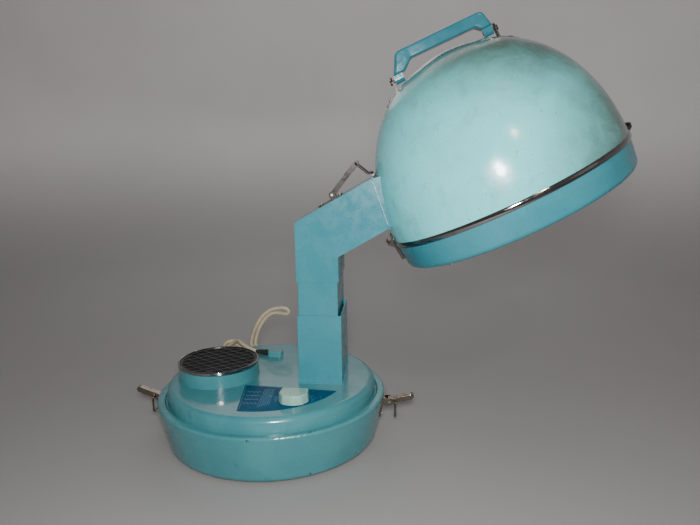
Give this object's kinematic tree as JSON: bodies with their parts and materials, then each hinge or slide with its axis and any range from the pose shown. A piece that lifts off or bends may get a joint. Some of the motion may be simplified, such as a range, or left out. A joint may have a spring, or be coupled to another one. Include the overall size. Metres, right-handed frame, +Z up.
{
  "type": "hood hair dryer",
  "caption": "Portable salon hair dryer: round blower base, telescoping square duct, lift-off elbow and tilted bonnet hood with folding carry handle.",
  "frame": {"origin": "on the table, under the centre of the round base", "axes": "+X from the base towards the hood, +Y away from the dial side, +Z up"},
  "size_m": [0.705, 0.366, 0.5938],
  "materials": {
    "base_plastic": "glossy moulded turquoise",
    "arm_plastic": "glossy moulded turquoise",
    "dome_plastic": "polished pale sea green",
    "handle_plastic": "glossy turquoise",
    "knob_plastic": "off-white",
    "dial_enamel": "blue enamel with white marks",
    "chrome_trim": "bright plated",
    "wire_steel": "worn plated",
    "grille_black": "satin black",
    "black_plastic": "black",
    "liner_plastic": "dull turquoise",
    "duct_metal": "mill finish",
    "motor_steel": "painted",
    "wheel_metal": "pressed",
    "mica": "mica board",
    "steel": "plain",
    "rubber_black": "matt",
    "cord_beige": "aged beige vinyl",
    "plug_brown": "moulded",
    "brass_plain": "plain"
  },
  "bodies": {
    "base": {"base_pan": "base_plastic", "base_cover": "base_plastic", "base_feet": "rubber_black", "foot_screws": "steel", "intake_ring": "chrome_trim", "intake_grille": "grille_black", "dial_plate": "dial_enamel", "switch_body": "black_plastic", "blower_housing": "duct_metal", "motor": "motor_steel", "heater_frame": "mica", "heater_coils": "steel", "thermostat": "brass_plain", "neck_column": "arm_plastic", "friction_spring": "steel", "latch_plates": "wire_steel", "latch_pins": "steel", "latch_rivets": "wire_steel", "cord_gland": "base_plastic", "strain_relief": "rubber_black", "power_cord": "cord_beige", "cord_hank": "cord_beige", "cord_loop": "cord_beige", "cord_tail": "cord_beige", "plug_body": "plug_brown", "plug_blades": "brass_plain"},
    "knob": {"control_knob": "knob_plastic", "switch_shaft": "steel"},
    "blower": {"blower_wheel": "wheel_metal", "motor_shaft": "steel"},
    "sleeve": {"neck_sleeve": "arm_plastic"},
    "catch": {"neck_catch": "black_plastic"},
    "elbow": {"neck_elbow": "arm_plastic", "elbow_spigot": "duct_metal", "clasp_plate": "wire_steel", "clasp_pin": "steel", "clasp_rivets": "wire_steel"},
    "clasp_arm": {"clasp_lever": "wire_steel"},
    "clasp_loop": {"clasp_bail": "wire_steel"},
    "hood": {"hood_shell": "dome_plastic", "hood_port": "dome_plastic", "hood_rim": "arm_plastic", "chrome_band": "chrome_trim", "hood_liner": "liner_plastic", "liner_screws": "steel", "front_strike": "wire_steel", "rear_strike": "wire_steel", "handle_pins": "steel", "handle_brackets": "wire_steel", "bracket_rivets": "wire_steel", "clasp_strike": "wire_steel"},
    "handle": {"handle_grip": "handle_plastic", "handle_ferrules": "handle_plastic"},
    "front_lever": {"front_latch_lever": "wire_steel"},
    "front_link": {"front_latch_link": "wire_steel"},
    "rear_lever": {"rear_latch_lever": "wire_steel"},
    "rear_link": {"rear_latch_link": "wire_steel"}
  },
  "joints": [
    {"name": "neck_height", "type": "slide", "parent": "base", "child": "sleeve", "axis": [0, 0, 1], "range_m": [-0.036, 0.045]},
    {"name": "elbow_lift", "type": "slide", "parent": "sleeve", "child": "elbow", "axis": [0, 0, 1], "range_m": [0, 0.06]},
    {"name": "catch_press", "type": "slide", "parent": "sleeve", "child": "catch", "axis": [1, 0, 0], "range_m": [0, 0.0025], "stiffness_N_per_m": 400},
    {"name": "hood_release", "type": "slide", "parent": "elbow", "child": "hood", "axis": [0.9446, 0, 0.3281], "range_m": [0, 0.05]},
    {"name": "clasp_lever_turn", "type": "hinge", "parent": "elbow", "child": "clasp_arm", "pos_m": [0.09213, 0.02, 0.35555], "axis": [0, -1, 0], "range_deg": [0, 60]},
    {"name": "clasp_bail_turn", "type": "hinge", "parent": "clasp_arm", "child": "clasp_loop", "pos_m": [0.126, 0.02, 0.399], "axis": [0, -1, 0], "range_deg": [0, 14]},
    {"name": "handle_fold", "type": "hinge", "parent": "hood", "child": "handle", "pos_m": [0.2453, 0.02, 0.54066], "axis": [0.8965, 0, 0.4431], "range_deg": [-38, 38]},
    {"name": "knob_turn", "type": "hinge", "parent": "base", "child": "knob", "pos_m": [0.047, -0.092, 0.095], "axis": [0, 0, 1], "range_deg": [0, 120]},
    {"name": "blower_spin", "type": "hinge", "parent": "base", "child": "blower", "pos_m": [-0.08, 0, 0.03], "axis": [0, 0, 1], "continuous": true},
    {"name": "front_lever_turn", "type": "hinge", "parent": "base", "child": "front_lever", "pos_m": [0.1725, 0, 0.055], "axis": [0, -1, 0], "range_deg": [-35, 70]},
    {"name": "front_link_swing", "type": "hinge", "parent": "front_lever", "child": "front_link", "pos_m": [0.18123, 0, 0.05718], "axis": [0, -1, 0], "range_deg": [-8, 80]},
    {"name": "rear_lever_turn", "type": "hinge", "parent": "base", "child": "rear_lever", "pos_m": [-0.1725, 0, 0.055], "axis": [0, 1, 0], "range_deg": [-35, 70]},
    {"name": "rear_link_swing", "type": "hinge", "parent": "rear_lever", "child": "rear_link", "pos_m": [-0.18085, 0, 0.05837], "axis": [0, 1, 0], "range_deg": [-8, 80]}
  ]
}
